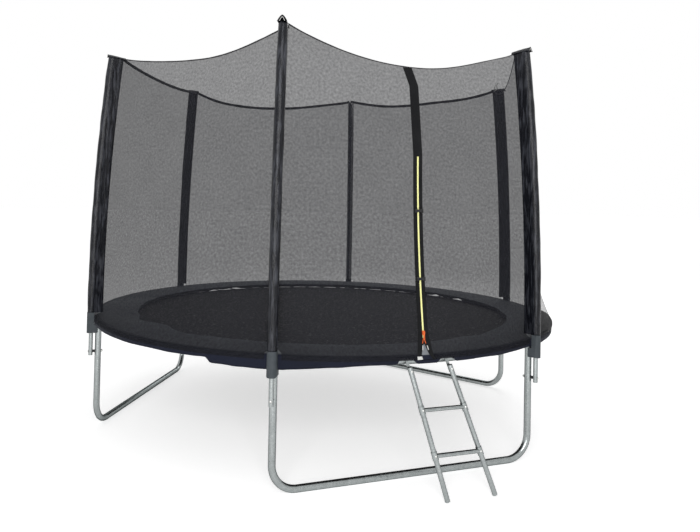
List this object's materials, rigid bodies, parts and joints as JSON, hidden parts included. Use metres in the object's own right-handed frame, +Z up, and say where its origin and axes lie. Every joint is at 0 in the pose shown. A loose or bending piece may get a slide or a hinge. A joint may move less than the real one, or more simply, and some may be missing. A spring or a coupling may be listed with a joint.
{
  "type": "garden trampoline",
  "caption": "Round garden trampoline on U-shaped steel legs, with a sprung mat, padded edge, zipped safety net on padded poles and a hook-on ladder.",
  "frame": {"origin": "on the ground, under the middle of the top ring", "axes": "+Z up, -Y towards the door and the ladder, +X to the right of someone who faces the door"},
  "size_m": [3.151, 3.1914, 2.3494],
  "materials": {
    "galvanised_steel": "zinc-coated tube, pale grey with a soft shine and faint spangle",
    "zinc_fasteners": "bright zinc-plated bolts and nuts",
    "spring_steel": "zinc-plated spring wire",
    "pole_foam": "closed-cell foam tube",
    "clamp_plastic": "moulded dark grey plastic, fine matt grain",
    "black_plastic": "moulded black plastic",
    "sleeve_cloth": "black coated cloth with a glossy, wrinkled face",
    "net_mesh": "fine knitted black netting that shows grey from a distance",
    "edge_binding": "black cord in a sewn cloth edge",
    "mat_cloth": "woven black mat with a coarse, slightly shiny weave",
    "webbing": "black woven strap",
    "pad_cover": "charcoal-blue coated cloth over foam, soft sheen",
    "zip_tape": "pale yellow zip tape and teeth",
    "slider_enamel": "orange-red enamel"
  },
  "bodies": {
    "frame": {"top_rail_1": "galvanised_steel", "top_rail_2": "galvanised_steel", "top_rail_3": "galvanised_steel", "top_rail_4": "galvanised_steel", "top_rail_5": "galvanised_steel", "top_rail_6": "galvanised_steel", "leg_upright_1": "galvanised_steel", "leg_upright_2": "galvanised_steel", "leg_upright_3": "galvanised_steel", "leg_upright_4": "galvanised_steel", "leg_upright_5": "galvanised_steel", "leg_upright_6": "galvanised_steel", "leg_base_front": "galvanised_steel", "leg_base_right": "galvanised_steel", "leg_base_left": "galvanised_steel", "lower_pole_1": "galvanised_steel", "lower_pole_2": "galvanised_steel", "lower_pole_3": "galvanised_steel", "lower_pole_4": "galvanised_steel", "lower_pole_5": "galvanised_steel", "lower_pole_6": "galvanised_steel", "upper_poles": "galvanised_steel", "foam_sleeves": "pole_foam", "pole_caps": "black_plastic", "pole_clamps": "clamp_plastic", "pole_spacers": "black_plastic", "pole_bolts": "zinc_fasteners", "pole_nuts": "zinc_fasteners", "net_pocket_1": "sleeve_cloth", "net_pocket_2": "sleeve_cloth", "net_pocket_3": "sleeve_cloth", "net_pocket_4": "sleeve_cloth", "net_pocket_5": "sleeve_cloth", "net_pocket_6": "sleeve_cloth", "net_panel_1": "net_mesh", "net_panel_2": "net_mesh", "net_panel_3": "net_mesh", "net_panel_4": "net_mesh", "net_panel_5": "net_mesh", "net_panel_6": "net_mesh", "net_hoods": "sleeve_cloth", "net_rope": "edge_binding", "springs": "spring_steel", "safety_pad": "pad_cover", "pad_straps": "webbing", "door_strip": "sleeve_cloth", "zip_chain": "zip_tape", "clip_sockets": "black_plastic"},
    "mat": {"jumping_mat": "mat_cloth", "mat_webbing": "webbing", "mat_rings": "spring_steel"},
    "ladder": {"ladder_rail_left": "galvanised_steel", "ladder_rail_right": "galvanised_steel", "ladder_treads": "galvanised_steel", "ladder_hooks": "galvanised_steel", "ladder_bolts": "zinc_fasteners"},
    "zip_slider": {"zip_slider": "slider_enamel"},
    "zip_pull": {"zip_pull": "slider_enamel"},
    "clip_lower": {"clip_tongue_lower": "black_plastic"},
    "clip_upper": {"clip_tongue_upper": "black_plastic"}
  },
  "joints": [
    {"name": "mat_bounce", "type": "slide", "parent": "frame", "child": "mat", "axis": [0, 0, 1], "range_m": [-0.15, 0], "stiffness_N_per_m": 6000, "springref_m": 0.03, "deforming": ["springs"]},
    {"name": "ladder_swing", "type": "hinge", "parent": "frame", "child": "ladder", "pos_m": [-0.0262, -1.50075, 0.664], "axis": [-0.9998, 0.0175, 0], "range_deg": [0, 20]},
    {"name": "zip_travel", "type": "hinge", "parent": "frame", "child": "zip_slider", "pos_m": [-0.7329, -3.78143, 1.81491], "axis": [0.9563, -0.2924, 0], "range_deg": [0, 20.17]},
    {"name": "pull_flip", "type": "hinge", "parent": "zip_slider", "child": "zip_pull", "pos_m": [-0.03555, -1.50577, 0.79639], "axis": [-0.9934, 0.0434, 0.1063], "range_deg": [0, 120]},
    {"name": "clip_lower_release", "type": "slide", "parent": "frame", "child": "clip_lower", "axis": [1, 0, 0], "range_m": [0, 0.014]},
    {"name": "clip_upper_release", "type": "slide", "parent": "frame", "child": "clip_upper", "axis": [1, 0, 0], "range_m": [0, 0.014]}
  ]
}
